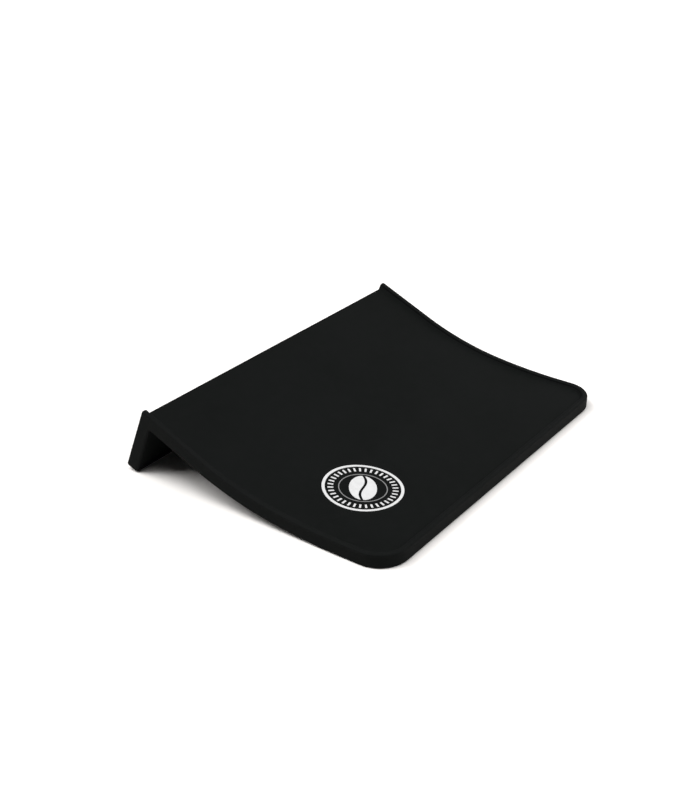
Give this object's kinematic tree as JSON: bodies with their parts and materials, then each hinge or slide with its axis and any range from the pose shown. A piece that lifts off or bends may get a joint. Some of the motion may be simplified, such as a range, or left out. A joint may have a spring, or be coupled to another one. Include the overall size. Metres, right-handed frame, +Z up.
{
  "type": "bench tamping mat",
  "caption": "Folded silicone mat with a raised border and a lip that hooks over a counter's edge, to tamp coffee on.",
  "frame": {"origin": "centre of the footprint, on the surface that the mat stands on", "axes": "+X along the fold, +Y from the lip to the far end, +Z up"},
  "size_m": [0.2, 0.1504, 0.0348],
  "materials": {
    "silicone": "matte moulded silicone",
    "ink_white": "matte silicone ink",
    "ink_grey": "matte silicone ink"
  },
  "bodies": {
    "root": {"mat": "silicone", "print_ring": "ink_white", "print_dashes": "ink_white", "print_hairline": "ink_grey", "print_bean": "ink_white"}
  },
  "joints": []
}
